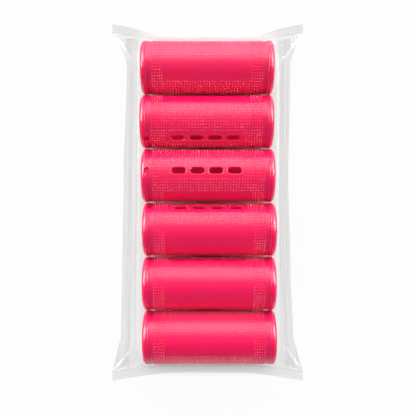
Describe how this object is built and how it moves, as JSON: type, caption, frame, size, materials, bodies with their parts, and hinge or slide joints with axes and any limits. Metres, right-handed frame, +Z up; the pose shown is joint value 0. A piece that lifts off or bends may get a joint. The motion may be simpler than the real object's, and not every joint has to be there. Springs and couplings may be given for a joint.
{
  "type": "hair roller pack",
  "caption": "Clear sealed film pack that holds hollow plastic hair rollers side by side; each roller has end rings, vent slots and a pin hole.",
  "frame": {"origin": "on the face that the pack rests on, under the middle of the pack", "axes": "+X along the rollers away from their pin holes, +Y along the stack from the bottom seal to the top seal, +Z up out of the front film"},
  "size_m": [0.0896, 0.1674, 0.0263],
  "materials": {
    "roller_plastic": "satin moulded plastic",
    "ring_plastic": "glossy moulded plastic",
    "film": "clear glossy film",
    "film_seal": "crimped clear film"
  },
  "bodies": {
    "bag": {"front_film": "film", "back_film": "film", "left_fold": "film", "right_fold": "film", "top_shoulder": "film", "bottom_shoulder": "film", "back_seal": "film_seal", "top_seal": "film_seal", "bottom_seal": "film_seal"},
    "roller_1": {"roller_1_barrel": "roller_plastic", "roller_1_left_ring": "ring_plastic", "roller_1_right_ring": "ring_plastic"},
    "roller_2": {"roller_2_barrel": "roller_plastic", "roller_2_left_ring": "ring_plastic", "roller_2_right_ring": "ring_plastic"},
    "roller_3": {"roller_3_barrel": "roller_plastic", "roller_3_left_ring": "ring_plastic", "roller_3_right_ring": "ring_plastic"},
    "roller_4": {"roller_4_barrel": "roller_plastic", "roller_4_left_ring": "ring_plastic", "roller_4_right_ring": "ring_plastic"},
    "roller_5": {"roller_5_barrel": "roller_plastic", "roller_5_left_ring": "ring_plastic", "roller_5_right_ring": "ring_plastic"},
    "roller_6": {"roller_6_barrel": "roller_plastic", "roller_6_left_ring": "ring_plastic", "roller_6_right_ring": "ring_plastic"}
  },
  "joints": [
    {"name": "roller_1_turn", "type": "hinge", "parent": "bag", "child": "roller_1", "pos_m": [-0.0002, 0.063, 0.01315], "axis": [1, 0, 0], "continuous": true},
    {"name": "roller_2_turn", "type": "hinge", "parent": "bag", "child": "roller_2", "pos_m": [-0.0004, 0.0378, 0.01315], "axis": [1, 0, 0], "continuous": true},
    {"name": "roller_3_turn", "type": "hinge", "parent": "bag", "child": "roller_3", "pos_m": [0.0002, 0.0126, 0.01315], "axis": [1, 0, 0], "continuous": true},
    {"name": "roller_4_turn", "type": "hinge", "parent": "bag", "child": "roller_4", "pos_m": [0.0008, -0.0126, 0.01315], "axis": [1, 0, 0], "continuous": true},
    {"name": "roller_5_turn", "type": "hinge", "parent": "bag", "child": "roller_5", "pos_m": [0.0007, -0.0378, 0.01315], "axis": [1, 0, 0], "continuous": true},
    {"name": "roller_6_turn", "type": "hinge", "parent": "bag", "child": "roller_6", "pos_m": [0.0008, -0.063, 0.01315], "axis": [1, 0, 0], "continuous": true}
  ]
}
